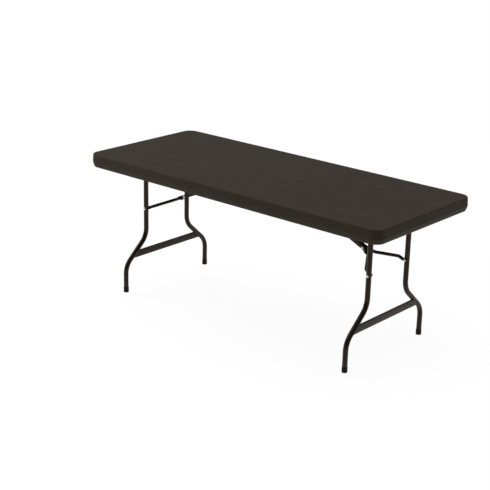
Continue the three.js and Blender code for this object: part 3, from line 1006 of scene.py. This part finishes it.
def build_end(end):
    """One leg frame with its brace."""
    frame_body = f"{end}_leg_frame"
    add_pivot_tube(end)
    add_crossbar(end)
    add_lock_ring(end)
    for side_name, side in SIDES.items():
        add_leg_tube(end, side_name)
        add_foot_cap(end, side_name)
        add_pivot_plug(end, side_name)
        add_yoke_arm(end, side_name)
        headed_pin(f"{end}_{side_name}_leg_rivet", frame_body, side < 0, side > 0)
        pressed = 2 * ARM_RADIUS * ARM_PRESS
        trims = (pressed, 0) if side > 0 else (0, pressed)
        headed_pin(f"{end}_yoke_{side_name}_rivet", f"{end}_brace_yoke", side > 0, side < 0, *trims)
    headed_pin(f"{end}_knee_pin", f"{end}_brace_link", True, True)
    headed_pin(f"{end}_anchor_pin", "root", True, True)
    soften(f"{end}_swing_link", STEEL_SLOT)
    soften(f"{end}_knee_bracket", STEEL_SLOT)
    soften(f"{end}_anchor_bracket", STEEL_SLOT, 0.5 * MM)


for end_name in ENDS:
    build_end(end_name)
for side_rail in ("side_rail_front", "side_rail_back"):
    soften(side_rail, STEEL_SLOT, 0.8 * MM)
add_screws(sorted(n for n in frame["nodes"] if "_screw_" in n))


# ---- Floor and light ----

SKY_HORIZON = 0.05
SKY_ZENITH = 1.9
SKY_DARK_SIDE = 0.10
SKY_DARK_AZIMUTH = math.radians(58)
SKY_BACKDROP = 1.0
FLOOR_GLOW = 0.92
FLOOR_HALF_SIZE = 60
FLOOR_DROP = 0.5 * MM
SOFTBOX_AIM = (0, 0, 0.5)
SOFTBOX_SIZE = 1.6


def add_floor():
    """A pale floor lit like a studio sweep, so that it stays nearly white under the table."""
    work = bmesh.new()
    bmesh.ops.create_grid(work, x_segments=4, y_segments=4, size=FLOOR_HALF_SIZE)
    mesh = bpy.data.meshes.new("floor")
    work.to_mesh(mesh)
    work.free()
    floor = bpy.data.objects.new("floor", mesh)
    floor.location.z = cad_bounds[0].z - FLOOR_DROP
    scene.collection.objects.link(floor)
    s = Surface("pale_floor")
    s.colour(s.mix(s.noise(0.8, 3), (0.095, 0.095, 0.095), (0.105, 0.105, 0.105)))
    s.uniform(Roughness=0.9, Specular_IOR_Level=0.0)
    s.uniform(Emission_Color=(1, 1, 1, 1), Emission_Strength=FLOOR_GLOW)
    mesh.materials.append(s.material)


def add_sky():
    """A soft white sky, brightest overhead and darkest to one side, and a plain pale backdrop.

    The backdrop is what shows past the floor's edge. It lights nothing.
    """
    world = bpy.data.worlds.new("studio")
    scene.world = world
    world.use_nodes = True
    nodes = world.node_tree.nodes
    links = world.node_tree.links

    def along(direction, low, high, at_low, at_high):
        """A brightness that changes with how far a ray points along a direction."""
        product = nodes.new("ShaderNodeVectorMath")
        product.operation = "DOT_PRODUCT"
        product.inputs[1].default_value = direction
        links.new(place.outputs["Generated"], product.inputs[0])
        ramp = nodes.new("ShaderNodeMapRange")
        ramp.inputs["From Min"].default_value = low
        ramp.inputs["From Max"].default_value = high
        ramp.inputs["To Min"].default_value = at_low
        ramp.inputs["To Max"].default_value = at_high
        links.new(product.outputs["Value"], ramp.inputs["Value"])
        return ramp.outputs["Result"]

    place = nodes.new("ShaderNodeTexCoord")
    dark_side = (math.sin(SKY_DARK_AZIMUTH), -math.cos(SKY_DARK_AZIMUTH), 0)
    product = nodes.new("ShaderNodeMath")
    product.operation = "MULTIPLY"
    links.new(along((0, 0, 1), 0.25, 0.95, SKY_HORIZON, SKY_ZENITH), product.inputs[0])
    links.new(along(dark_side, -0.1, 0.7, 1.0, SKY_DARK_SIDE), product.inputs[1])
    backdrop = nodes.new("ShaderNodeMix")
    backdrop.inputs["B"].default_value = SKY_BACKDROP
    links.new(nodes.new("ShaderNodeLightPath").outputs["Is Camera Ray"], backdrop.inputs["Factor"])
    links.new(product.outputs[0], backdrop.inputs["A"])
    links.new(backdrop.outputs["Result"], nodes["Background"].inputs["Strength"])
    nodes["Background"].inputs["Color"].default_value = (1, 1, 1, 1)


def add_softbox(name, place, power):
    """A square area light aimed at the table."""
    data = bpy.data.lights.new(name, "AREA")
    data.shape = "SQUARE"
    data.size = SOFTBOX_SIZE
    data.energy = power
    light = bpy.data.objects.new(name, data)
    light.location = place
    light.rotation_mode = "QUATERNION"
    light.rotation_quaternion = (Vector(SOFTBOX_AIM) - Vector(place)).to_track_quat("-Z", "Y")
    scene.collection.objects.link(light)


add_floor()
add_sky()
add_softbox("left_softbox", (-3.6, -1.6, 2.2), 60)
add_softbox("right_softbox", (3.2, 3.0, 1.8), 4)
scene.view_settings.view_transform = "Standard"
